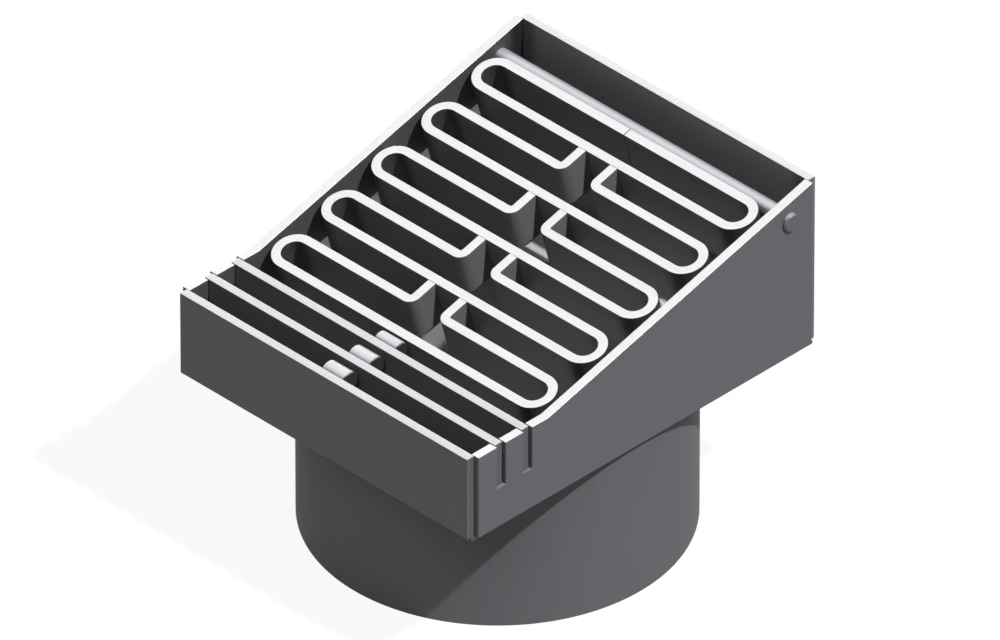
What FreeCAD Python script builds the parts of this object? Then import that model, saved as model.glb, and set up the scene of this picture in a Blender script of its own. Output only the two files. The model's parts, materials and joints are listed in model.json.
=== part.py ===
import FreeCAD, Part
import math
import os
from FreeCAD import Placement, Rotation, Vector

# Ramp drain: a welded plate box with a sloping top on a round outlet pipe, closed by a
# hinged grate of bent flat-bar loops behind two fixed cross bars. All sizes are in millimetres.
# X runs across, -Y is the low front edge, +Y the high back and +Z is up.
# The origin is the centre of the outlet pipe's lower end.
# On the ramp, places are given as x across, s up the slope from the bend line of the side
# plates' top edge, and m square into the box from the plane of the sloping edge.

# Box of plates
plate_thickness = 5.0
front_height = 48.0
ramp_angle = 15.0
corner_setback = 3.0
floor_thickness = 2.0
floor_setback = 2.0

# Outlet pipe under the floor
pipe_outer_diameter = 200.0
pipe_wall = 3.0
pipe_length = 90.5
pipe_side_margin = 3.0
outlet_hole_diameter = 172.0

# Flat bar of the cross bars and the grate
bar_thickness = 5.0
bar_depth = 25.0

# Cross bars, slotted into the side plates
cross_bar_count = 2
cross_bar_gap = 13.3
cross_bar_setback = 2.0
slot_clearance = 0.5

# Short round rods that stiffen the front plate and the cross bars at mid-width
spacer_diameter = 12.0
rear_spacer_diameter = 10.0
spacer_length = 15.0
spacer_chamfer = 0.5

# Grate of bent loops, numbered from the front
loop_count = 5
loop_gap = 13.5
loop_spacing = 12.6
link_spacing = 16.8
link_bend_radius = 1.0
grate_side_clearance = 2.7
grate_drop = 0.7
grate_front_overhang = 1.7
swing_clearance = 0.35
seam_gap = 0.4

# Hinge rod behind the last loop
hinge_rod_diameter = 10.0
hinge_rod_depth = 11.0
hinge_rod_play = 0.06
hinge_rod_overhang = 2.0
hinge_rod_chamfer = 0.8
hinge_back_gap = 10.8

# Centring studs at the middle loop
stud_diameter = 10.0
stud_play = 0.6
stud_overlap = 7.3

# Rest lugs under the first loop
lug_length = 20.0
lug_width = 8.0
lug_thickness = 5.0
lug_play = 0.3

# Widths across the box
box_width = pipe_outer_diameter + 2 * pipe_side_margin
half_width = box_width / 2
inner_half_width = half_width - plate_thickness
grate_half_width = inner_half_width - grate_side_clearance

# Lengths along the grate
loop_length = loop_gap + 2 * bar_thickness
loop_pitch = loop_length + loop_spacing
grate_length = (loop_count - 1) * loop_pitch + loop_length
hinge_radius = hinge_rod_diameter / 2
hinge_s = grate_length + hinge_radius - grate_front_overhang

# The grate's lower front edge swings on this radius about the hinge
sole_depth = grate_drop + bar_depth
swing_radius = math.hypot(grate_length + hinge_radius, sole_depth - hinge_rod_depth)

# The hinge's place behind and above the bend line
slope = math.radians(ramp_angle)
hinge_behind_bend = hinge_s * math.cos(slope) + hinge_rod_depth * math.sin(slope)
hinge_above_bend = hinge_s * math.sin(slope) - hinge_rod_depth * math.cos(slope)

# Depths from the front face: the bend line is as near the last cross bar's rod as the swing lets it
cross_bar_pitch = cross_bar_gap + bar_thickness
last_bar_back = plate_thickness + cross_bar_count * cross_bar_pitch
rear_spacer_radius = rear_spacer_diameter / 2
spacer_to_hinge = swing_radius + swing_clearance + rear_spacer_radius
spacer_below_hinge = hinge_above_bend + rear_spacer_radius
spacer_before_hinge = math.sqrt(spacer_to_hinge ** 2 - spacer_below_hinge ** 2)
hinge_depth = last_bar_back + rear_spacer_radius + spacer_before_hinge
bend_depth = hinge_depth - hinge_behind_bend
back_inner_depth = hinge_depth + hinge_radius + hinge_back_gap
box_depth = back_inner_depth + plate_thickness

# Heights above the pipe's lower end
floor_top = pipe_length + floor_thickness
front_top = floor_top + front_height
back_top = front_top + (back_inner_depth - bend_depth) * math.tan(slope)

# Places along Y
front_y = -box_depth / 2
bend_y = front_y + bend_depth
hinge_y = front_y + hinge_depth
hinge_z = front_top + hinge_above_bend
back_inner_y = front_y + back_inner_depth


def box(low, high):
    """Return a box between its lowest and highest corner."""
    size = high - low
    return Part.makeBox(size.x, size.y, size.z, low)


def rod_along_x(diameter, x_low, x_high, centre_y, centre_z, chamfer=0.0):
    """Return a round rod along X, its two end edges chamfered if a size is given."""
    start = Vector(x_low, centre_y, centre_z)
    rod = Part.makeCylinder(diameter / 2, x_high - x_low, start, Vector(1, 0, 0))
    if chamfer:
        ends = [edge for edge in rod.Edges if isinstance(edge.Curve, Part.Circle)]
        rod = rod.makeChamfer(chamfer, ends)
    return rod


def on_ramp(shape):
    """Return a shape that is laid out in x, s and -m, tilted and moved to its place."""
    tilt = Placement(Vector(0, bend_y, front_top), Rotation(Vector(1, 0, 0), ramp_angle))
    placed = shape.copy()
    placed.Placement = tilt.multiply(placed.Placement)
    return placed


def outline_edges(start, steps):
    """Return the edges from a start point; a step is a line's end, or an arc's middle and end."""
    edges = []
    here = start
    for step in steps:
        if isinstance(step, tuple):
            middle, here_next = step
            edges.append(Part.Arc(here, middle, here_next).toShape())
        else:
            here_next = step
            edges.append(Part.LineSegment(here, here_next).toShape())
        here = here_next
    return edges


def cross_bar_front(index):
    """Return the Y of a cross bar's front face."""
    return front_y + plate_thickness + cross_bar_gap + index * cross_bar_pitch


def loop_front(index):
    """Return the s of a loop's front face."""
    return index * loop_pitch - grate_front_overhang


def front_plate():
    """Return the upright plate across the low front edge."""
    half = half_width - corner_setback
    return box(Vector(-half, front_y, floor_top), Vector(half, front_y + plate_thickness, front_top))


def back_plate():
    """Return the upright plate across the high back edge."""
    half = half_width - corner_setback
    return box(Vector(-half, back_inner_y, floor_top), Vector(half, -front_y, back_top))


def side_plate(side):
    """Return a wedge-shaped side plate, slotted for the cross bars and drilled for the rod."""
    start_y = front_y + plate_thickness
    inner_x = side * inner_half_width
    profile = Part.Face(Part.makePolygon([
        Vector(inner_x, start_y, floor_top),
        Vector(inner_x, back_inner_y, floor_top),
        Vector(inner_x, back_inner_y, back_top),
        Vector(inner_x, bend_y, front_top),
        Vector(inner_x, start_y, front_top),
        Vector(inner_x, start_y, floor_top),
    ]))
    plate = profile.extrude(Vector(side * plate_thickness, 0, 0))
    for index in range(cross_bar_count):
        slot_front = cross_bar_front(index) - slot_clearance
        slot_back = cross_bar_front(index) + bar_thickness + slot_clearance
        plate = plate.cut(box(Vector(-half_width, slot_front, front_top - bar_depth),
                              Vector(half_width, slot_back, front_top)))
    hole_diameter = hinge_rod_diameter + 2 * hinge_rod_play
    return plate.cut(rod_along_x(hole_diameter, -half_width, half_width, hinge_y, hinge_z))


def floor_plate():
    """Return the floor sheet under the walls, with the round outlet hole."""
    half_x = half_width - floor_setback
    half_y = box_depth / 2 - floor_setback
    sheet = box(Vector(-half_x, -half_y, pipe_length), Vector(half_x, half_y, floor_top))
    return sheet.cut(Part.makeCylinder(outlet_hole_diameter / 2, floor_top))


def outlet_pipe():
    """Return the round outlet pipe that hangs under the floor."""
    outer = Part.makeCylinder(pipe_outer_diameter / 2, pipe_length)
    bore = Part.makeCylinder(pipe_outer_diameter / 2 - pipe_wall, pipe_length)
    return outer.cut(bore)


def cross_bar(index):
    """Return a flat bar on edge, its ends in the side plates' slots and its top flush."""
    half = half_width - cross_bar_setback
    bar_front = cross_bar_front(index)
    return box(Vector(-half, bar_front, front_top - bar_depth),
               Vector(half, bar_front + bar_thickness, front_top))


def spacer_rod(carrier_back, diameter):
    """Return a short rod at mid-width, against a carrier's back face and flush with its top."""
    radius = diameter / 2
    return rod_along_x(diameter, -spacer_length / 2, spacer_length / 2,
                       carrier_back + radius, front_top - radius, spacer_chamfer)


def loop_outline(front_s, inset):
    """Return the face inside a loop's outer outline, or inside a line set in from it."""
    middle_s = front_s + loop_length / 2
    radius = loop_length / 2 - inset
    end_x = grate_half_width - loop_length / 2
    start = Vector(-end_x, middle_s - radius, 0)
    edges = outline_edges(start, [
        Vector(end_x, middle_s - radius, 0),
        (Vector(end_x + radius, middle_s, 0), Vector(end_x, middle_s + radius, 0)),
        Vector(-end_x, middle_s + radius, 0),
        (Vector(-end_x - radius, middle_s, 0), start),
    ])
    return Part.Face(Part.Wire(edges))


def closed_loop(front_s):
    """Return the last loop's profile, a flat bar bent round until its ends meet at the back."""
    ring = loop_outline(front_s, 0).cut(loop_outline(front_s, bar_thickness))
    seam_back = front_s + loop_length
    seam = box(Vector(-seam_gap / 2, seam_back - bar_thickness, -1), Vector(seam_gap / 2, seam_back, 1))
    return ring.cut(seam)


def open_loop(front_s):
    """Return a loop's profile whose two ends bend back at mid-width to reach the next loop."""
    middle_s = front_s + loop_length / 2
    back_s = front_s + loop_length
    end_x = grate_half_width - loop_length / 2
    link_in_x = link_spacing / 2
    link_out_x = link_in_x + bar_thickness
    link_end_s = back_s + loop_spacing
    inner_bend = Vector(link_out_x + link_bend_radius, back_s + link_bend_radius, 0)
    on_diagonal = Vector(-math.sqrt(0.5), -math.sqrt(0.5), 0)
    outer_radius = link_bend_radius + bar_thickness
    right = outline_edges(Vector(0, front_s, 0), [
        Vector(end_x, front_s, 0),
        (Vector(grate_half_width, middle_s, 0), Vector(end_x, back_s, 0)),
        Vector(inner_bend.x, back_s, 0),
        (inner_bend + on_diagonal * link_bend_radius, Vector(link_out_x, inner_bend.y, 0)),
        Vector(link_out_x, link_end_s, 0),
        Vector(link_in_x, link_end_s, 0),
        Vector(link_in_x, inner_bend.y, 0),
        (inner_bend + on_diagonal * outer_radius, Vector(inner_bend.x, back_s - bar_thickness, 0)),
        Vector(end_x, back_s - bar_thickness, 0),
        (Vector(grate_half_width - bar_thickness, middle_s, 0),
         Vector(end_x, front_s + bar_thickness, 0)),
        Vector(0, front_s + bar_thickness, 0),
    ])
    left = [edge.mirror(Vector(0, 0, 0), Vector(1, 0, 0)) for edge in right]
    outline = Part.sortEdges(right + left)[0]
    return Part.Face(Part.Wire(outline))


def grate_loop(index):
    """Return one loop of the grate, its profile given the bar's depth, in its place."""
    is_last = index == loop_count - 1
    profile = closed_loop(loop_front(index)) if is_last else open_loop(loop_front(index))
    profile.translate(Vector(0, 0, -grate_drop))
    return on_ramp(profile.extrude(Vector(0, 0, -bar_depth)).removeSplitter())


def hinge_rod():
    """Return the rod along the last loop's back, which turns in both side plates."""
    half = half_width + hinge_rod_overhang
    return rod_along_x(hinge_rod_diameter, -half, half, hinge_y, hinge_z, hinge_rod_chamfer)


def centring_stud(side):
    """Return a round stub from the middle loop's rounded end to just short of a side plate."""
    front_s = loop_front(loop_count // 2)
    centre_s = front_s + loop_length - bar_thickness / 2
    tip_x = inner_half_width - stud_play
    root_x = grate_half_width - stud_overlap
    stub = Part.makeCylinder(stud_diameter / 2, tip_x - root_x,
                             Vector(side * root_x, centre_s, -hinge_rod_depth), Vector(side, 0, 0))
    filled = loop_outline(front_s, 0).extrude(Vector(0, 0, -sole_depth))
    return on_ramp(stub.cut(filled))


def rest_lug(side):
    """Return a lug on a side plate under the first loop's rounded end, just clear of it."""
    middle_s = loop_front(0) + loop_length / 2
    top = -(sole_depth + lug_play)
    x_low, x_high = sorted((side * inner_half_width, side * (inner_half_width - lug_width)))
    lug = box(Vector(x_low, middle_s - lug_length / 2, top - lug_thickness),
              Vector(x_high, middle_s + lug_length / 2, top))
    return on_ramp(lug)


def all_parts():
    """Return every piece by its node name."""
    parts = {
        "front_plate": front_plate(),
        "back_plate": back_plate(),
        "floor_plate": floor_plate(),
        "outlet_pipe": outlet_pipe(),
        "front_cross_bar": cross_bar(0),
        "rear_cross_bar": cross_bar(cross_bar_count - 1),
        "front_spacer_rod": spacer_rod(front_y + plate_thickness, spacer_diameter),
        "middle_spacer_rod": spacer_rod(cross_bar_front(0) + bar_thickness, spacer_diameter),
        "rear_spacer_rod": spacer_rod(front_y + last_bar_back, rear_spacer_diameter),
        "hinge_rod": hinge_rod(),
    }
    for index in range(loop_count):
        parts[f"grate_loop_{index + 1}"] = grate_loop(index)
    for name, side in (("left", -1), ("right", 1)):
        parts[f"{name}_side_plate"] = side_plate(side)
        parts[f"{name}_centring_stud"] = centring_stud(side)
        parts[f"{name}_rest_lug"] = rest_lug(side)
    return parts


def main():
    """Write each piece to its own STEP file and print its volume."""
    os.makedirs("parts", exist_ok=True)
    for name, shape in all_parts().items():
        solid = shape.Solids[0]
        solid.exportStep(f"parts/{name}.step")
        print(f"{name}: {solid.Volume / 1000:.2f} cm3, {len(shape.Solids)} solid, valid {solid.isValid()}")
    print(f"box {box_width:.2f} x {box_depth:.2f}, back top {back_top:.2f}, bend at {bend_depth:.2f}")


main()
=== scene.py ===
"""Looks of a ramp drain: a welded plate box on a round outlet pipe, with a hinged bar grate.

Each sub-assembly is a class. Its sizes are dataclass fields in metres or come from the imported
frame, and its methods model the pieces that stand for the frame's plain solids. Only the two
rest ledges stand for no solid.
"""

import json
import logging
import math
from dataclasses import dataclass
from enum import Enum
from typing import Callable, Sequence, Union

import bpy
from mathutils import Matrix, Vector


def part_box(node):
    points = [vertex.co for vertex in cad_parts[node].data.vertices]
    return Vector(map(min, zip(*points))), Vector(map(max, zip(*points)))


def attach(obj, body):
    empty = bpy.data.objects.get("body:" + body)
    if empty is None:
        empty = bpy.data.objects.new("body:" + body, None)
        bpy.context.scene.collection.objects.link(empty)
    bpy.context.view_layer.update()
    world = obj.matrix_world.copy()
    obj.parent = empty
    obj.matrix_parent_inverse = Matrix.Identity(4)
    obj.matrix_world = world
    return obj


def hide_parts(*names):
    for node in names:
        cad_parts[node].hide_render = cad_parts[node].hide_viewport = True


LOG = logging.getLogger("ramp_drain")
BOX_BODY = "drain_body"
GRATE_BODY = "grate"
PLATE_SLOT = "plate_steel"
BAR_SLOT = "bar_steel"
RAMP_ANGLE = math.radians(15.0)
NOISE_MIDDLE = 0.5
BLACK = (0.0, 0.0, 0.0)
WHITE = (1.0, 1.0, 1.0)

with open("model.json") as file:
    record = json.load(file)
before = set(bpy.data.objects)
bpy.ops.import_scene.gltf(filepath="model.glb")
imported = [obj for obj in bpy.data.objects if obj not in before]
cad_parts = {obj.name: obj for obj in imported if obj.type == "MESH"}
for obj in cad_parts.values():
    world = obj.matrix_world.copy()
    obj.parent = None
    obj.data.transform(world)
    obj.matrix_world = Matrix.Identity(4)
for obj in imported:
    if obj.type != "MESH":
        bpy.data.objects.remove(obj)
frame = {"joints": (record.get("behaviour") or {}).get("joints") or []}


class Grain(Enum):
    """The way that a piece's rolling marks run, as their pattern's scale along X, Y and Z."""

    ACROSS = (0.04, 1.0, 1.0)
    UP_THE_RAMP = (1.0, 0.04, 1.0)
    UPRIGHT = (1.0, 1.0, 0.04)


class Bright(Enum):
    """Where a piece is bright, partly from wear and partly as a painted highlight: its finish fades
    to bright between two shares of facing up.
    """

    FLAT_TOP = (0.62, 0.90)
    # The rods' bright band along their upper side is a painted highlight
    ROUND_TOP = (0.56, 1.00)
    NOWHERE = (2.0, 3.0)


class Signal:
    """A shader socket on which Python's operators add Math nodes."""

    def __init__(self, graph: "ShaderGraph", socket: bpy.types.NodeSocket) -> None:
        """Keep the socket and the graph that it belongs to."""
        self.graph = graph
        self.socket = socket

    def _join(self, operation: str, left: "Number", right: "Number") -> "Signal":
        """Return a Math node's result for two values."""
        return self.graph.add("ShaderNodeMath", {"operation": operation}, {0: left, 1: right})

    def __add__(self, other: "Number") -> "Signal":
        """Return the sum."""
        return self._join("ADD", self, other)

    def __radd__(self, other: "Number") -> "Signal":
        """Return the sum with the signal on the right."""
        return self._join("ADD", other, self)

    def __sub__(self, other: "Number") -> "Signal":
        """Return the difference."""
        return self._join("SUBTRACT", self, other)

    def __rsub__(self, other: "Number") -> "Signal":
        """Return the difference with the signal on the right."""
        return self._join("SUBTRACT", other, self)

    def __mul__(self, other: "Number") -> "Signal":
        """Return the product."""
        return self._join("MULTIPLY", self, other)

    def __rmul__(self, other: "Number") -> "Signal":
        """Return the product with the signal on the right."""
        return self._join("MULTIPLY", other, self)

    def size(self) -> "Signal":
        """Return the value without its sign."""
        return self._join("MAXIMUM", self, 0 - self)

    def centred(self) -> "Signal":
        """Return a noise's value measured from the noise's middle."""
        return self - NOISE_MIDDLE

    def axis(self, name: str) -> "Signal":
        """Return a vector's X, Y or Z."""
        return self.graph.add("ShaderNodeSeparateXYZ", {}, {"Vector": self}, name)

    def larger(self, other: "Number") -> "Signal":
        """Return the larger of two values."""
        return self._join("MAXIMUM", self, other)

    def fade(self, start: float, end: float) -> "Signal":
        """Fade smoothly from 0 at one value to 1 at another.

        Args:
            start: The value that gives 0.
            end: The value that gives 1.

        Returns:
            The faded signal, held between 0 and 1.
        """
        settings = {"interpolation_type": "SMOOTHSTEP"}
        inputs = {"Value": self, "From Min": start, "From Max": end}
        return self.graph.add("ShaderNodeMapRange", settings, inputs)


Number = Union[Signal, float]
Colour = tuple[float, float, float]
Paint = Union[Signal, Colour]


class ShaderGraph:
    """The node tree of one material or world."""

    # A Mix node has sockets of one name for each kind of value, and these are the colours' numbers
    MIX_SHARE = 0
    MIX_LOW = 6
    MIX_HIGH = 7
    MIX_RESULT = 2

    def __init__(self, tree: bpy.types.NodeTree) -> None:
        """Empty the tree."""
        self.tree = tree
        self.tree.nodes.clear()

    def add(self, kind: str, settings: dict[str, object], inputs: dict[Union[int, str], object],
            output: Union[int, str] = 0) -> Union[Signal, None]:
        """Add one node.

        Args:
            kind: The node's type.
            settings: Its properties, set before its sockets.
            inputs: A value, colour or signal for each socket, by its name or number.
            output: The socket to return.

        Returns:
            The chosen output, or nothing for a node that ends the tree.
        """
        node = self.tree.nodes.new(kind)
        for name, value in settings.items():
            setattr(node, name, value)
        for key, value in inputs.items():
            if isinstance(value, Signal):
                self.tree.links.new(value.socket, node.inputs[key])
            elif isinstance(value, tuple) and node.inputs[key].type == "RGBA":
                node.inputs[key].default_value = (*value, 1.0)
            else:
                node.inputs[key].default_value = value
        return Signal(self, node.outputs[output]) if node.outputs else None

    def blend(self, share: Number, low: Paint, high: Paint) -> Signal:
        """Return two colours mixed, with the given share of the second one."""
        inputs = {self.MIX_SHARE: share, self.MIX_LOW: low, self.MIX_HIGH: high}
        return self.add("ShaderNodeMix", {"data_type": "RGBA"}, inputs, self.MIX_RESULT)

    def cover(self, share: Number, under: Signal, over: Signal) -> Signal:
        """Return two shaders mixed, with the given share of the second one."""
        return self.add("ShaderNodeMixShader", {}, {0: share, 1: under, 2: over})


@dataclass(frozen=True)
class PaintedShade:
    """Painted shade, under which the steel fades darker where shade falls in corners and recesses.

    It starts at the first and is deepest at the second of two distances from the part's middle
    plane and, where given, of two places along the part.
    """

    across: tuple[float, float]
    left: float
    along: Union[tuple[float, float], None] = None

    def share(self, place: Signal) -> Signal:
        """Work out how much of the steel's tone is left.

        Args:
            place: The point on the piece.

        Returns:
            The share that is left.
        """
        darkening = place.axis("X").size().fade(*self.across)
        if self.along:
            darkening = darkening * place.axis("Y").fade(*self.along)
        return 1 - darkening * (1 - self.left)


@dataclass(frozen=True)
class SlotFloorShade:
    """Painted shade at a depth: what faces up near this height is dull, and brighter above it."""

    height: float
    dull_under: float = 0.003
    bright_over: float = 0.011

    def share(self, place: Signal) -> Signal:
        """Return how much of its brightness a point on the piece keeps."""
        return place.axis("Z").fade(self.height - self.dull_under, self.height + self.bright_over)


@dataclass(frozen=True)
class PaintedBoreLight:
    """Painted light on a round wall's inner side: inside the wall the steel is lighter than on its
    outside.
    """

    outside: float = 0.1
    inside: float = 0.0985
    tone: Colour = (0.30, 0.30, 0.31)

    def paint(self, place: Signal, body: Signal) -> Signal:
        """Lay the lighter tone, a painted light, over the inner side of the wall.

        Args:
            place: The point on the piece.
            body: The colour of the outer side.

        Returns:
            The colour with its washed bore.
        """
        x = place.axis("X")
        y = place.axis("Y")
        inner = (x * x + y * y).fade(self.outside ** 2, self.inside ** 2)
        return place.graph.blend(inner, body, self.tone)


@dataclass(frozen=True)
class Noise:
    """A soft random pattern between 0 and 1."""

    scale: float
    detail: float

    def lay(self, place: Signal) -> Signal:
        """Return the pattern's value at a point."""
        inputs = {"Vector": place, "Scale": self.scale, "Detail": self.detail}
        return place.graph.add("ShaderNodeTexNoise", {}, inputs)


@dataclass(frozen=True)
class SteelMarks:
    """The uneven marks of rolled steel at a point, with its place and the way that it faces."""

    CLOUD = Noise(22.0, 4.0)
    STREAK = Noise(900.0, 3.0)
    SPECK = Noise(1400.0, 2.0)

    place: Signal
    facing: Signal
    cloud: Signal
    streak: Signal
    speck: Signal

    @classmethod
    def lay(cls, graph: ShaderGraph, grain: Grain) -> "SteelMarks":
        """Add the marks to a material.

        Args:
            graph: The material's graph.
            grain: The way that the streaks run.

        Returns:
            The marks.
        """
        place = graph.add("ShaderNodeTexCoord", {}, {}, "Object")
        facing = graph.add("ShaderNodeTexCoord", {}, {}, "Normal")
        rolled = graph.add("ShaderNodeMapping", {}, {"Vector": place, "Scale": grain.value})
        return cls(place, facing, cls.CLOUD.lay(place), cls.STREAK.lay(rolled),
                   cls.SPECK.lay(place))


@dataclass(frozen=True)
class SteelFinish:
    """Satin steel with rolling marks, soft cloudy tone, rubbed edges, painted shade and light where
    given, and bright tops that are partly worn and partly a painted highlight.
    """

    # How strongly the marks show in each way, which is the same on every piece
    BORDER_WAVER = 0.1
    BODY_FADE = (0.2, 0.8)
    RUBBED_FADE = (0.05, 0.2)
    RUBBED_CLOUD = 0.8
    RUBBED_STREAK = 0.4
    TOP_STREAK_FADE = (0.35, 0.65)
    TOP_STREAK_DARK = 0.95
    ROUGH_CLOUD = 0.12
    ROUGH_SPECK = 0.06
    ROUGH_STREAK = 0.08
    RELIEF_STREAK = 0.7
    RELIEF_SPECK = 0.3
    BUMP_STRENGTH = 0.12
    BUMP_DEPTH = 0.0002

    name: str
    tone: Colour = (0.118, 0.116, 0.127)
    bright_tone: Colour = (0.80, 0.80, 0.81)
    # Bright tops, partly worn and partly a painted highlight from the light above
    bright: Bright = Bright.FLAT_TOP
    grain: Grain = Grain.ACROSS
    # Painted shade in corners and recesses
    painted_shade: tuple[PaintedShade, ...] = ()
    # Painted shade on up-facing faces low in the slots
    slot_floor_shade: Union[SlotFloorShade, None] = None
    # Painted light on a round wall's inner side
    bore_light: Union[PaintedBoreLight, None] = None
    square_edges: bool = True
    metallic: float = 0.12
    bright_metallic: float = 0.60
    roughness: float = 0.50
    bright_roughness: float = 0.38
    gloss: float = 0.12
    tone_spread: float = 0.14
    edge_wear: float = 0.10

    def material(self) -> bpy.types.Material:
        """Make the finish's material.

        Returns:
            The material.
        """
        material = bpy.data.materials.new(self.name)
        material.use_nodes = True
        graph = ShaderGraph(material.node_tree)
        marks = SteelMarks.lay(graph, self.grain)
        bright = self._brightness(marks)
        surface = graph.add("ShaderNodeBsdfPrincipled", {}, {
            "Base Color": graph.blend(bright, self._body(graph, marks), self._worn_and_lit_top(graph, marks)),
            "Metallic": self.metallic + (self.bright_metallic - self.metallic) * bright,
            "Roughness": self._roughness(marks, bright),
            "Specular IOR Level": self.gloss,
            "Normal": self._relief(graph, marks),
        })
        graph.add("ShaderNodeOutputMaterial", {}, {"Surface": surface})
        return material

    def _brightness(self, marks: SteelMarks) -> Signal:
        """Find the bright tops, by how far they face up; they are partly worn and partly a painted
        highlight from the light above.

        Args:
            marks: The steel's marks.

        Returns:
            1 on a bright top and 0 on the rest.
        """
        up = marks.facing.axis("Z") + marks.cloud.centred() * self.BORDER_WAVER
        bright = up.fade(*self.bright.value)
        return bright * self.slot_floor_shade.share(marks.place) if self.slot_floor_shade else bright

    def _body(self, graph: ShaderGraph, marks: SteelMarks) -> Signal:
        """Colour the steel away from its bright tops.

        Args:
            graph: The material's graph.
            marks: The steel's marks.

        Returns:
            The cloudy tone with rubbed edges, painted shade and the pipe's painted inner light
            where the finish has them.
        """
        cloud = marks.cloud.centred() * self.tone_spread
        shade = cloud + marks.streak.centred() * self.tone_spread + NOISE_MIDDLE
        darker = self._shaded(self.tone, 1 - self.tone_spread)
        lighter = self._shaded(self.tone, 1 + self.tone_spread)
        body = graph.blend(shade.fade(*self.BODY_FADE), darker, lighter)
        if self.square_edges:
            wear = marks.cloud * self.RUBBED_CLOUD + marks.streak * self.RUBBED_STREAK
            rubbed = self._rubbed(marks.facing) * wear * self.edge_wear
            body = graph.blend(rubbed, body, self.bright_tone)
        # Painted shade: the steel fades darker where shade falls in corners and recesses
        for painted_shade in self.painted_shade:
            body = graph.blend(painted_shade.share(marks.place), BLACK, body)
        # Painted light: the inner side of a round wall is lighter
        return self.bore_light.paint(marks.place, body) if self.bore_light else body

    def _worn_and_lit_top(self, graph: ShaderGraph, marks: SteelMarks) -> Signal:
        """Return the colour of the bright tops, partly wear and partly painted highlight, streaked
        by grinding.
        """
        return graph.blend(marks.streak.fade(*self.TOP_STREAK_FADE),
                           self._shaded(self.bright_tone, self.TOP_STREAK_DARK), self.bright_tone)

    def _roughness(self, marks: SteelMarks, bright: Signal) -> Signal:
        """Work out how rough the steel is.

        Args:
            marks: The steel's marks.
            bright: 1 on a bright top and 0 on the rest.

        Returns:
            The roughness.
        """
        cloud = marks.cloud.centred() * self.ROUGH_CLOUD
        speck = marks.speck.centred() * self.ROUGH_SPECK
        streak = marks.streak.centred() * self.ROUGH_STREAK
        dull = self.roughness + cloud + speck
        return dull * (1 - bright) + (self.bright_roughness + streak) * bright

    def _relief(self, graph: ShaderGraph, marks: SteelMarks) -> Signal:
        """Roughen the surface with the finest marks.

        Args:
            graph: The material's graph.
            marks: The steel's marks.

        Returns:
            The turned normal.
        """
        height = marks.streak * self.RELIEF_STREAK + marks.speck * self.RELIEF_SPECK
        depth = {"Strength": self.BUMP_STRENGTH, "Distance": self.BUMP_DEPTH}
        return graph.add("ShaderNodeBump", {}, {**depth, "Height": height})

    @staticmethod
    def _shaded(colour: Colour, share: float) -> Colour:
        """Return a colour made darker or lighter by a share."""
        return tuple(channel * share for channel in colour)

    @classmethod
    def _rubbed(cls, facing: Signal) -> Signal:
        """Return 1 on a square-cut piece's broken edges, down to 0 on its flat sides."""
        x, y, z = (facing.axis(name).size() for name in "XYZ")
        return (1 - x.larger(y).larger(z)).fade(*cls.RUBBED_FADE)


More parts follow.
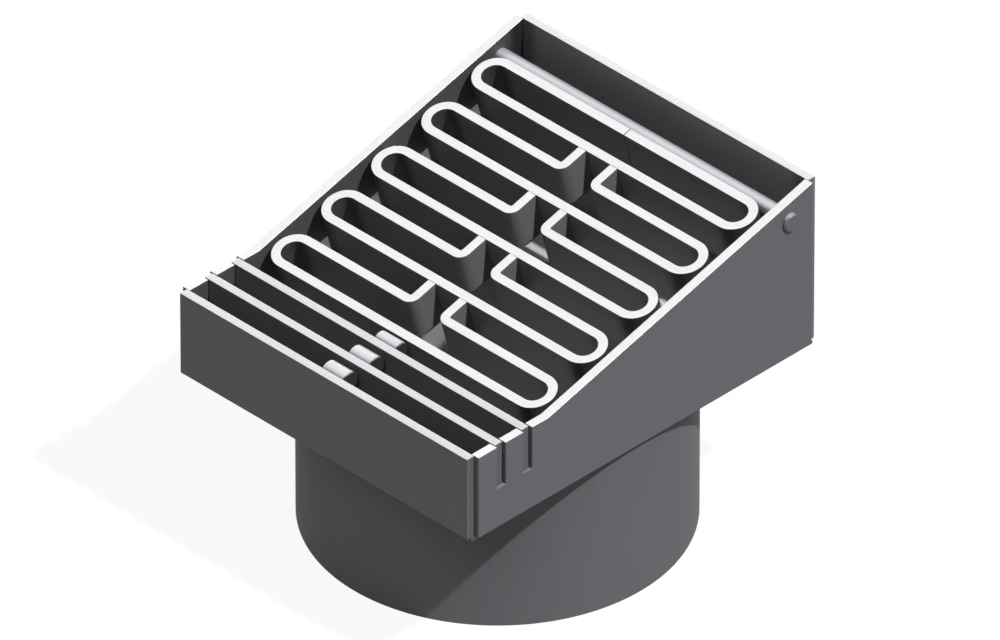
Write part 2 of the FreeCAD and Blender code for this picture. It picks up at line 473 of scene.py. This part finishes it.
class Bench:
    """Modelling steps that several pieces share."""

    EDGE = 0.00035
    BEVEL_STEPS = 2
    ROUND_STEPS = 96
    WIDE_STEPS = 192
    NEAR = 1e-6
    SHARP_ANGLE = math.radians(35.0)
    SMOOTH_ANGLE = math.radians(30.0)

    @staticmethod
    def clear() -> None:
        """Leave edit mode and deselect everything."""
        if bpy.context.mode != "OBJECT":
            bpy.ops.object.mode_set(mode="OBJECT")
        bpy.ops.object.select_all(action="DESELECT")

    @staticmethod
    def hold(piece: bpy.types.Object) -> None:
        """Make one object the only selected and active one.

        Args:
            piece: The object.
        """
        Bench.clear()
        piece.select_set(True)
        bpy.context.view_layer.objects.active = piece

    @staticmethod
    def named(name: str) -> bpy.types.Object:
        """Name the primitive just added and bake its place into its mesh.

        Args:
            name: Its name.

        Returns:
            The primitive.
        """
        piece = bpy.context.active_object
        piece.name = name
        piece.data.name = name
        bpy.ops.object.transform_apply(location=True, rotation=True, scale=True)
        return piece

    @staticmethod
    def block(name: str, low: Vector, high: Vector) -> bpy.types.Object:
        """Add a block between two corners.

        Args:
            name: The piece's name.
            low: Its lowest corner.
            high: Its highest corner.

        Returns:
            The block.
        """
        Bench.clear()
        bpy.ops.mesh.primitive_cube_add(size=1.0, location=(low + high) / 2, scale=high - low)
        return Bench.named(name)

    @staticmethod
    def rod(name: str, radius: float, start: Vector, end: Vector,
            steps: int = ROUND_STEPS) -> bpy.types.Object:
        """Add a round rod between two points.

        Args:
            name: The piece's name.
            radius: The rod's radius.
            start: The middle of its first end.
            end: The middle of its other end.
            steps: The number of its sides.

        Returns:
            The rod.
        """
        Bench.clear()
        turn = (end - start).to_track_quat("Z", "Y").to_euler()
        length = (end - start).length
        bpy.ops.mesh.primitive_cylinder_add(vertices=steps, radius=radius, depth=length,
                                            location=(start + end) / 2, rotation=turn)
        return Bench.named(name)

    @staticmethod
    def cross_rod(name: str, radius: float, start_x: float, end_x: float, y: float,
                  z: float) -> bpy.types.Object:
        """Add a round rod that lies across the part, from one X to another."""
        return Bench.rod(name, radius, Vector((start_x, y, z)), Vector((end_x, y, z)))

    @staticmethod
    def modify(piece: bpy.types.Object, kind: str, **settings: object) -> None:
        """Add a modifier and apply it.

        Args:
            piece: The object to change.
            kind: The modifier's type.
            **settings: The modifier's properties.
        """
        Bench.hold(piece)
        modifier = piece.modifiers.new(kind.lower(), kind)
        for name, value in settings.items():
            setattr(modifier, name, value)
        bpy.ops.object.modifier_apply(modifier=modifier.name)

    @staticmethod
    def cut(piece: bpy.types.Object, cutter: bpy.types.Object) -> None:
        """Take one object's form out of a piece, and delete that object."""
        Bench.modify(piece, "BOOLEAN", operation="DIFFERENCE", solver="EXACT", object=cutter)
        bpy.data.objects.remove(cutter, do_unlink=True)

    @staticmethod
    def close_up() -> None:
        """Merge doubled points, turn the faces outwards and leave edit mode."""
        bpy.ops.mesh.select_all(action="SELECT")
        bpy.ops.mesh.remove_doubles(threshold=Bench.NEAR)
        bpy.ops.mesh.normals_make_consistent(inside=False)
        bpy.ops.object.mode_set(mode="OBJECT")

    @staticmethod
    def break_edges(piece: bpy.types.Object, width: float = EDGE, steps: int = BEVEL_STEPS) -> None:
        """Bevel a piece's sharp edges and smooth its round faces.

        Args:
            piece: The object to finish.
            width: How much is taken off each edge.
            steps: The bevel's segments.
        """
        Bench.hold(piece)
        bpy.ops.object.mode_set(mode="EDIT")
        Bench.close_up()
        Bench.modify(piece, "BEVEL", width=width, segments=steps, limit_method="ANGLE",
                     angle_limit=Bench.SHARP_ANGLE, harden_normals=False, use_clamp_overlap=False)
        bpy.ops.object.shade_smooth_by_angle(angle=Bench.SMOOTH_ANGLE)
        Bench.modify(piece, "WEIGHTED_NORMAL", keep_sharp=True)

    @staticmethod
    def select_edges(piece: bpy.types.Object, wanted: Callable[[Vector], bool]) -> None:
        """Select, in edit mode, the edges whose two ends both pass a test.

        Args:
            piece: The object that is being edited.
            wanted: The test of a point.
        """
        bpy.ops.mesh.select_all(action="DESELECT")
        bpy.ops.mesh.select_mode(type="EDGE")
        bpy.ops.object.mode_set(mode="OBJECT")
        points = piece.data.vertices
        for edge in piece.data.edges:
            edge.select = all(wanted(points[index].co) for index in edge.vertices)
        bpy.ops.object.mode_set(mode="EDIT")

    @staticmethod
    def stand_in(piece: bpy.types.Object, node: Union[str, None], body: str, slot: str,
                 material: bpy.types.Material) -> None:
        """Dress a piece and let it ride on its body and stand for a node of the frame.

        Args:
            piece: The finished piece.
            node: The node that it replaces, if it replaces one.
            body: The body that it rides on.
            slot: The record's material slot; not used.
            material: Its material.
        """
        piece.data.materials.clear()
        piece.data.materials.append(material)
        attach(piece, body)
        if node:
            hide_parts(node)
        faces = len(piece.data.polygons)
        LOG.info("%s: %d faces, for %s on %s", piece.name, faces, node or "no node", body)


@dataclass(frozen=True)
class Ramp:
    """The slope of the part, worked out from the frame's hinge and plates."""

    angle: float
    hinge: Vector
    front_top: float
    bend_y: float

    @classmethod
    def from_frame(cls, angle: float) -> "Ramp":
        """Read the slope from the frame.

        Args:
            angle: The slope's angle.

        Returns:
            The ramp.
        """
        hinge = Vector(frame["joints"][0]["pos_m"])
        front_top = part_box("front_plate")[1].z
        side_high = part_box("left_side_plate")[1]
        bend_y = side_high.y - (side_high.z - front_top) / math.tan(angle)
        return cls(angle, hinge, front_top, bend_y)

    def lay(self, piece: bpy.types.Object) -> None:
        """Tilt a piece that was modelled flat, with Y up the slope, and move it to the hinge."""
        piece.data.transform(Matrix.Translation(self.hinge) @ Matrix.Rotation(self.angle, 4, "X"))


class BarBender:
    """Bends a flat bar on edge, one straight run or bend after another."""

    STEPS_PER_RIGHT_ANGLE = 12

    def __init__(self, name: str, start: Vector, heading: Vector, first_run: float,
                 thickness: float, top: float, depth: float) -> None:
        """Start with the first straight run.

        Args:
            name: The bar's name.
            start: The middle of the bar's first end, seen from above.
            heading: The way it starts.
            first_run: The length of the first run.
            thickness: The bar's thickness.
            top: The height of its upper edge.
            depth: How deep it stands.
        """
        Bench.clear()
        self.thickness = thickness
        self.end = start + heading * first_run
        self.heading = heading
        bpy.ops.mesh.primitive_plane_add(size=1.0)
        piece = bpy.context.active_object
        # The plane's own X lies along the run and its Y stands up
        upright = Matrix((
            (heading.x, 0, -heading.y, start.x + heading.x * first_run / 2),
            (heading.y, 0, heading.x, start.y + heading.y * first_run / 2),
            (0, 1, 0, top - depth / 2),
            (0, 0, 0, 1),
        ))
        piece.data.transform(upright @ Matrix.Diagonal((first_run, depth, 1, 1)))
        self.piece = Bench.named(name)
        bpy.ops.object.mode_set(mode="EDIT")

    def _take_end(self) -> None:
        """Select the upright edge that the bar ends in."""
        Bench.select_edges(self.piece, lambda point: abs(point.x - self.end.x) < Bench.NEAR
                           and abs(point.y - self.end.y) < Bench.NEAR)

    def run(self, length: float) -> None:
        """Add a straight run.

        Args:
            length: Its length.
        """
        self._take_end()
        step = self.heading * length
        bpy.ops.mesh.extrude_edges_move(TRANSFORM_OT_translate={"value": (step.x, step.y, 0)})
        self.end = self.end + step

    def bend(self, turn: float, radius: float) -> None:
        """Add a bend.

        Args:
            turn: The angle, positive to the left.
            radius: The radius of the bar's middle line.
        """
        self._take_end()
        side = math.copysign(1.0, turn)
        centre = self.end + Vector((-self.heading.y, self.heading.x, 0)) * radius * side
        steps = round(self.STEPS_PER_RIGHT_ANGLE * abs(turn) / (math.pi / 2))
        bpy.ops.mesh.spin(steps=steps, angle=-turn, center=centre, axis=(0, 0, 1))
        swing = Matrix.Rotation(turn, 3, "Z")
        self.end = centre + swing @ (self.end - centre)
        self.heading = swing @ self.heading

    def finish(self) -> bpy.types.Object:
        """Give the bar its thickness.

        Returns:
            The bar.
        """
        Bench.close_up()
        Bench.modify(self.piece, "SOLIDIFY", thickness=self.thickness, offset=0.0,
                     use_even_offset=True)
        return self.piece


@dataclass
class DrainBox:
    """The welded box: plates, floor, cross bars, spacer rods, rest lugs and rest ledges."""

    ramp: Ramp
    slot_clearance: float = 0.0005
    rod_hole_radius: float = 0.00506
    hole_radius: float = 0.086
    spacer_chamfer: float = 0.0005
    lug_thickness: float = 0.005
    lug_length: float = 0.020
    overrun: float = 0.01
    # Painted shade: the side walls' inner faces, the walls by the back corners, the back plate's
    # corners and the floor sheet's edges by the walls are darker
    wall_shade: PaintedShade = PaintedShade(across=(0.1025, 0.0985), left=0.65)
    wall_corner_shade: PaintedShade = PaintedShade(across=(0.1025, 0.0985), along=(0.103, 0.111), left=0.32)
    back_corner_shade: PaintedShade = PaintedShade(across=(0.087, 0.094), along=(0.118, 0.1165), left=0.52)
    floor_edge_shade: PaintedShade = PaintedShade(across=(0.097, 0.0995), left=0.15)

    def materials(self) -> dict[str, bpy.types.Material]:
        """Make the box's finishes.

        Returns:
            Each material by a short name.
        """
        # Painted shade: up-facing faces at the slot floors lose their bright tops
        slots = SlotFloorShade(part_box("front_cross_bar")[0].z)
        finishes = {
            # Each bright tone is partly wear and partly a painted highlight, set lighter or darker
            # for how the light falls on those tops
            "plate": SteelFinish("plate steel", tone=(0.113, 0.111, 0.120),
                                 bright_tone=(0.63, 0.63, 0.65)),
            "side": SteelFinish("side plate steel", bright_tone=(0.78, 0.78, 0.79),
                                grain=Grain.UP_THE_RAMP, slot_floor_shade=slots,
                                painted_shade=(self.wall_shade, self.wall_corner_shade)),
            # Painted highlight on the rest ledges' tops
            "ledge": SteelFinish("rest ledge steel", bright_tone=(0.90, 0.90, 0.92)),
            # Painted light: the back plate's steel is a lighter copy, for the light on its inner
            # face
            "back": SteelFinish("back plate steel", tone=(0.152, 0.150, 0.160),
                                bright_tone=(0.68, 0.68, 0.69), painted_shade=(self.back_corner_shade,)),
            # Painted shade and highlight: the spacer rods' very dark tone stands for the shade on
            # their ends, and their bright top is a painted highlight
            "rod": SteelFinish("spacer rod steel", tone=(0.035, 0.035, 0.037),
                               bright_tone=(0.68, 0.675, 0.70), bright=Bright.ROUND_TOP,
                               square_edges=False),
            # Painted light: the floor sheet's pale tone stands for the light falling on it through
            # the grate, and its edges by the walls carry painted shade
            "floor": SteelFinish("floor sheet steel", tone=(0.51, 0.51, 0.52),
                                 bright=Bright.NOWHERE, grain=Grain.UP_THE_RAMP,
                                 painted_shade=(self.floor_edge_shade,)),
        }
        return {name: finish.material() for name, finish in finishes.items()}

    def build(self) -> None:
        """Model and dress every piece of the box."""
        steel = self.materials()
        for node in ("front_plate", "back_plate", "front_cross_bar", "rear_cross_bar"):
            piece = Bench.block(f"{node}_steel", *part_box(node))
            self._done(piece, node, steel["back" if node == "back_plate" else "plate"])
        for node in ("left_side_plate", "right_side_plate"):
            self._done(self.side_plate(node), node, steel["side"])
        self._done(self.floor_plate("floor_plate"), "floor_plate", steel["floor"])
        for node in ("front_spacer_rod", "middle_spacer_rod", "rear_spacer_rod"):
            piece = self.spacer_rod(node)
            Bench.break_edges(piece, self.spacer_chamfer, steps=1)
            Bench.stand_in(piece, node, BOX_BODY, PLATE_SLOT, steel["rod"])
        half = self.lug_length / 2
        reach = self.ledge_reach()
        for side in ("left", "right"):
            node = f"{side}_rest_lug"
            lug = self.rest_strip(f"{node}_steel", node, -half, half)
            self._done(lug, node, steel["ledge"])
            ledge = self.rest_strip(f"{side}_rest_ledge", node, half, reach)
            self._done(ledge, None, steel["ledge"])

    @staticmethod
    def _done(piece: bpy.types.Object, node: Union[str, None],
              material: bpy.types.Material) -> None:
        """Break a piece's edges and let it stand for its node, if it has one."""
        Bench.break_edges(piece)
        Bench.stand_in(piece, node, BOX_BODY, PLATE_SLOT, material)

    def side_plate(self, node: str) -> bpy.types.Object:
        """Model a side plate, with its slope, slots and rod hole.

        Args:
            node: The node that it stands for.

        Returns:
            The plate.
        """
        low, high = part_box(node)
        front_top = self.ramp.front_top
        plate = Bench.block(f"{node}_steel", low, Vector((high.x, high.y, front_top)))
        bpy.ops.object.mode_set(mode="EDIT")
        bpy.ops.mesh.select_all(action="SELECT")
        bpy.ops.mesh.bisect(plane_co=(0, self.ramp.bend_y, 0), plane_no=(0, 1, 0))
        Bench.select_edges(plate, lambda point: point.y > high.y - Bench.NEAR
                           and point.z > front_top - Bench.NEAR)
        bpy.ops.transform.translate(value=(0, 0, high.z - front_top))
        bpy.ops.object.mode_set(mode="OBJECT")
        for bar in ("front_cross_bar", "rear_cross_bar"):
            bar_low, bar_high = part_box(bar)
            slot_low = Vector((low.x - self.overrun, bar_low.y - self.slot_clearance, bar_low.z))
            slot_high = Vector((high.x + self.overrun, bar_high.y + self.slot_clearance,
                                front_top + self.overrun))
            Bench.cut(plate, Bench.block("slot", slot_low, slot_high))
        hinge = self.ramp.hinge
        Bench.cut(plate, Bench.cross_rod("hole", self.rod_hole_radius, low.x - self.overrun,
                                         high.x + self.overrun, hinge.y, hinge.z))
        return plate

    def floor_plate(self, node: str) -> bpy.types.Object:
        """Model the floor sheet with its outlet hole.

        Args:
            node: The node that it stands for.

        Returns:
            The sheet.
        """
        low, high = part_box(node)
        sheet = Bench.block(f"{node}_steel", low, high)
        start = Vector((0, 0, low.z - self.overrun))
        end = Vector((0, 0, high.z + self.overrun))
        Bench.cut(sheet, Bench.rod("hole", self.hole_radius, start, end, Bench.WIDE_STEPS))
        return sheet

    def spacer_rod(self, node: str) -> bpy.types.Object:
        """Model a short round rod across the part.

        Args:
            node: The node that it stands for.

        Returns:
            The rod.
        """
        low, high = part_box(node)
        middle = (low + high) / 2
        radius = (high.z - low.z) / 2
        return Bench.cross_rod(f"{node}_steel", radius, low.x, high.x, middle.y, middle.z)

    def ledge_reach(self) -> float:
        """Work out how far the rest ledges run up the slope.

        Returns:
            The length from the first loop's middle to the last one's.
        """
        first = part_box("grate_loop_1")[0].y
        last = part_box("grate_loop_5")[0].y
        return (last - first) / math.cos(self.ramp.angle)

    def rest_strip(self, name: str, lug: str, start: float, end: float) -> bpy.types.Object:
        """Model a flat strip on a side wall under the grate, in line with a rest lug.

        Args:
            name: The strip's name.
            lug: The node of the rest lug.
            start: How far up the slope from the lug's middle it starts.
            end: How far up the slope it ends.

        Returns:
            The strip.
        """
        low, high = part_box(lug)
        half = Vector(((high.x - low.x) / 2, (end - start) / 2, self.lug_thickness / 2))
        strip = Bench.block(name, -half, half)
        tilt = Matrix.Rotation(self.ramp.angle, 4, "X")
        slide = Matrix.Translation((0, (start + end) / 2, 0))
        strip.data.transform(Matrix.Translation((low + high) / 2) @ tilt @ slide)
        return strip


@dataclass
class OutletPipe:
    """The round pipe under the floor."""

    wall: float = 0.003

    def build(self) -> None:
        """Model and dress the pipe."""
        low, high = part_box("outlet_pipe")
        Bench.clear()
        bpy.ops.mesh.primitive_circle_add(vertices=Bench.WIDE_STEPS, radius=high.x,
                                          location=(0, 0, low.z))
        pipe = Bench.named("outlet_pipe_steel")
        bpy.ops.object.mode_set(mode="EDIT")
        bpy.ops.mesh.select_all(action="SELECT")
        bpy.ops.mesh.extrude_edges_move(TRANSFORM_OT_translate={"value": (0, 0, high.z - low.z)})
        Bench.close_up()
        Bench.modify(pipe, "SOLIDIFY", thickness=self.wall, offset=-1.0)
        Bench.break_edges(pipe)
        # Painted light on the pipe's inner side, which is lighter than its outside
        finish = SteelFinish("pipe steel", tone=(0.127, 0.125, 0.135), grain=Grain.UPRIGHT,
                             bore_light=PaintedBoreLight(), square_edges=False, metallic=0.08, roughness=0.60,
                             gloss=0.05)
        Bench.stand_in(pipe, "outlet_pipe", BOX_BODY, PLATE_SLOT, finish.material())


@dataclass
class Grate:
    """The hinged grate: bent loops, hinge rod and centring studs."""

    ramp: Ramp
    bar: float = 0.005
    depth: float = 0.025
    loops: int = 5
    gap: float = 0.0135
    spacing: float = 0.0126
    link_gap: float = 0.0168
    link_radius: float = 0.001
    seam: float = 0.0004
    top_above_hinge: float = 0.0103
    rod_chamfer: float = 0.0008
    stud_overlap: float = 0.0073
    stud_loop: int = 3
    # Painted shade towards the loops' rounded ends
    end_shade_before: float = 0.006
    end_shade_past: float = 0.003
    end_shade_left: float = 0.35

    def __post_init__(self) -> None:
        """Work out the lengths that several pieces share."""
        low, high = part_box("grate_loop_1")
        rod_low, rod_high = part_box("hinge_rod")
        self.half = (high.x - low.x) / 2
        self.rod_radius = (rod_high.z - rod_low.z) / 2
        self.length = self.gap + 2 * self.bar
        self.pitch = self.length + self.spacing
        self.end_x = self.half - self.length / 2
        self.bend_radius = (self.gap + self.bar) / 2

    def front(self, number: int) -> float:
        """Return how far a loop's front face lies from the hinge, up the slope."""
        return (number - self.loops) * self.pitch - self.length - self.rod_radius

    def build(self) -> None:
        """Model and dress every piece of the grate."""
        # Painted shade: the loops darken towards their rounded ends by the side walls
        ends = (self.end_x - self.end_shade_before, self.end_x + self.end_shade_past)
        bar_steel = SteelFinish("grate bar steel", tone=(0.137, 0.135, 0.144),
                                bright_tone=(0.78, 0.78, 0.79), square_edges=False,
                                painted_shade=(PaintedShade(across=ends, left=self.end_shade_left),)).material()
        # Painted highlight along the upper side of the hinge rod and studs
        rod_steel = SteelFinish("hinge rod steel", bright_tone=(0.62, 0.615, 0.65),
                                bright=Bright.ROUND_TOP, square_edges=False).material()
        for number in range(1, self.loops + 1):
            node = f"grate_loop_{number}"
            piece = self.closed_loop(number) if number == self.loops else self.open_loop(number)
            Bench.break_edges(piece)
            self.ramp.lay(piece)
            Bench.stand_in(piece, node, GRATE_BODY, BAR_SLOT, bar_steel)
        rod = self.hinge_rod()
        Bench.break_edges(rod, self.rod_chamfer, steps=1)
        Bench.stand_in(rod, "hinge_rod", GRATE_BODY, BAR_SLOT, rod_steel)
        for node in ("left_centring_stud", "right_centring_stud"):
            stud = self.stud(node)
            Bench.break_edges(stud)
            Bench.stand_in(stud, node, GRATE_BODY, BAR_SLOT, rod_steel)

    def _bender(self, number: int, start: Vector, heading: Vector, first_run: float) -> BarBender:
        """Start a loop's bar."""
        return BarBender(f"grate_loop_{number}_steel", start, heading, first_run, self.bar,
                         self.top_above_hinge, self.depth)

    def open_loop(self, number: int) -> bpy.types.Object:
        """Bend a loop whose two ends turn back at mid-width to the next loop.

        Args:
            number: The loop's number, from the front.

        Returns:
            The loop, flat.
        """
        back = self.front(number) + self.length
        link_x = (self.link_gap + self.bar) / 2
        link_run = self.spacing - self.link_radius
        turn_radius = self.link_radius + self.bar / 2
        arm = self.end_x - link_x - turn_radius
        start = Vector((-link_x, back + self.spacing, 0))
        bender = self._bender(number, start, Vector((0, -1, 0)), link_run)
        bender.bend(-math.pi / 2, turn_radius)
        bender.run(arm)
        bender.bend(math.pi, self.bend_radius)
        bender.run(2 * self.end_x)
        bender.bend(math.pi, self.bend_radius)
        bender.run(arm)
        bender.bend(-math.pi / 2, turn_radius)
        bender.run(link_run)
        return bender.finish()

    def closed_loop(self, number: int) -> bpy.types.Object:
        """Bend a loop whose ends meet in a seam at the middle of its back bar.

        Args:
            number: The loop's number, from the front.

        Returns:
            The loop, flat.
        """
        back_line = self.front(number) + self.length - self.bar / 2
        arm = self.end_x - self.seam / 2
        start = Vector((self.seam / 2, back_line, 0))
        bender = self._bender(number, start, Vector((1, 0, 0)), arm)
        bender.bend(-math.pi, self.bend_radius)
        bender.run(2 * self.end_x)
        bender.bend(-math.pi, self.bend_radius)
        bender.run(arm)
        return bender.finish()

    def hinge_rod(self) -> bpy.types.Object:
        """Model the hinge rod.

        Returns:
            The rod.
        """
        low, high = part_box("hinge_rod")
        hinge = self.ramp.hinge
        return Bench.cross_rod("hinge_rod_steel", self.rod_radius, low.x, high.x, hinge.y, hinge.z)

    def stud(self, node: str) -> bpy.types.Object:
        """Model a centring stud, hollowed at its root to sit on the loop's rounded end.

        Args:
            node: The node that it stands for.

        Returns:
            The stud.
        """
        low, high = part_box(node)
        side = math.copysign(1.0, low.x)
        tip_x = high.x if side > 0 else low.x
        root_x = side * (self.half - self.stud_overlap)
        back_line = self.front(self.stud_loop) + self.length - self.bar / 2
        stud = Bench.cross_rod(f"{node}_steel", self.rod_radius, root_x, tip_x, back_line, 0)
        middle = back_line + self.bar / 2 - self.length / 2
        bottom = Vector((side * self.end_x, middle, -self.depth))
        top = Vector((side * self.end_x, middle, self.depth))
        Bench.cut(stud, Bench.rod("cope", self.length / 2, bottom, top, Bench.WIDE_STEPS))
        self.ramp.lay(stud)
        return stud


@dataclass(frozen=True)
class PhotoCamera:
    """A long lens at the photograph's viewing angle."""

    azimuth: float = math.radians(45.0)
    elevation: float = math.radians(35.264)
    frame_width: float = 0.4929
    frame_ahead: float = 0.0609
    aim_right: float = 0.00123
    aim_up: float = 0.09283
    lens: float = 1050.0
    sensor: float = 36.0
    clip_start: float = 0.1
    clip_distances: float = 10.0

    def build(self) -> None:
        """Make the scene's camera."""
        back = Vector((math.sin(self.azimuth) * math.cos(self.elevation),
                       -math.cos(self.azimuth) * math.cos(self.elevation),
                       math.sin(self.elevation)))
        right = Vector((math.cos(self.azimuth), math.sin(self.azimuth), 0))
        up = back.cross(right)
        distance = self.frame_width * self.lens / self.sensor + self.frame_ahead
        data = bpy.data.cameras.new("photo_camera")
        data.lens = self.lens
        data.sensor_width = self.sensor
        data.clip_start = self.clip_start
        data.clip_end = self.clip_distances * distance
        camera = bpy.data.objects.new("photo_camera", data)
        camera.location = right * self.aim_right + up * self.aim_up + back * distance
        camera.rotation_mode = "QUATERNION"
        camera.rotation_quaternion = (-back).to_track_quat("-Z", "Y")
        bpy.context.scene.collection.objects.link(camera)
        bpy.context.scene.camera = camera


@dataclass(frozen=True)
class Lamp:
    """A distant lamp, sharp or soft."""

    name: str
    strength: float
    spread: float
    shines_from: tuple[float, float, float]

    def build(self) -> None:
        """Hang the lamp."""
        data = bpy.data.lights.new(self.name, "SUN")
        data.energy = self.strength
        data.angle = self.spread
        lamp = bpy.data.objects.new(self.name, data)
        lamp.rotation_mode = "QUATERNION"
        lamp.rotation_quaternion = Vector(self.shines_from).to_track_quat("Z", "Y")
        bpy.context.scene.collection.objects.link(lamp)


@dataclass(frozen=True)
class Studio:
    """Pale floor, even surrounding light, a sharp lamp from the right and two soft ones."""

    floor_size: float = 60.0
    floor_tone: Colour = (0.32, 0.32, 0.32)
    floor_seen: Colour = (0.85, 0.85, 0.85)
    floor_glow: float = 0.92
    surround: float = 0.08
    seen_white: float = 1.0
    key: Lamp = Lamp("key_lamp", 3.8, math.radians(1.5), (1.0, 0.13, 1.49))
    fill: Lamp = Lamp("fill_lamp", 1.0, math.radians(35.0), (0.35, -1.0, 1.5))
    behind: Lamp = Lamp("behind_lamp", 1.0, math.radians(40.0), (-1.0, 0.9, 0.0))

    @staticmethod
    def _seen_plainly(graph: ShaderGraph) -> Signal:
        """Tell the rays that show a background from those that light the object.

        Args:
            graph: The graph of the floor's material or of the world.

        Returns:
            1 for camera, mirror and see-through rays, and 0 for the rest.
        """
        camera = graph.add("ShaderNodeLightPath", {}, {}, "Is Camera Ray")
        glossy = graph.add("ShaderNodeLightPath", {}, {}, "Is Glossy Ray")
        through = graph.add("ShaderNodeLightPath", {}, {}, "Is Transmission Ray")
        return camera.larger(glossy).larger(through)

    def build(self) -> None:
        """Make the floor, the world and the lamps."""
        self.floor()
        self.world()
        for lamp in (self.key, self.fill, self.behind):
            lamp.build()

    def floor(self) -> None:
        """Make the pale floor, which keeps the object's shadow."""
        Bench.clear()
        bpy.ops.mesh.primitive_plane_add(size=self.floor_size)
        floor = Bench.named("studio_floor")
        material = bpy.data.materials.new("studio floor")
        material.use_nodes = True
        graph = ShaderGraph(material.node_tree)
        seen = self._seen_plainly(graph)
        tone = graph.blend(seen, self.floor_tone, self.floor_seen)
        paint = graph.add("ShaderNodeBsdfDiffuse", {}, {"Color": tone})
        glow = graph.add("ShaderNodeEmission", {}, {"Color": WHITE, "Strength": self.seen_white})
        surface = graph.cover(seen * self.floor_glow, paint, glow)
        graph.add("ShaderNodeOutputMaterial", {}, {"Surface": surface})
        floor.data.materials.append(material)

    def world(self) -> None:
        """Make a world that shows white and gives a soft even light."""
        world = bpy.data.worlds.new("studio")
        world.use_nodes = True
        graph = ShaderGraph(world.node_tree)
        soft = graph.add("ShaderNodeBackground", {}, {"Color": WHITE, "Strength": self.surround})
        plain = graph.add("ShaderNodeBackground", {}, {"Color": WHITE, "Strength": self.seen_white})
        surface = graph.cover(self._seen_plainly(graph), soft, plain)
        graph.add("ShaderNodeOutputWorld", {}, {"Surface": surface})
        bpy.context.scene.world = world


def main() -> None:
    """Build the camera, the light and every piece."""
    logging.basicConfig(level=logging.INFO, format="%(name)s: %(message)s")
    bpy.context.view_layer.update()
    bpy.context.scene.view_settings.view_transform = "Standard"
    PhotoCamera().build()
    Studio().build()
    ramp = Ramp.from_frame(RAMP_ANGLE)
    DrainBox(ramp).build()
    OutletPipe().build()
    Grate(ramp).build()
    Bench.clear()


if __name__ == "__main__":
    main()
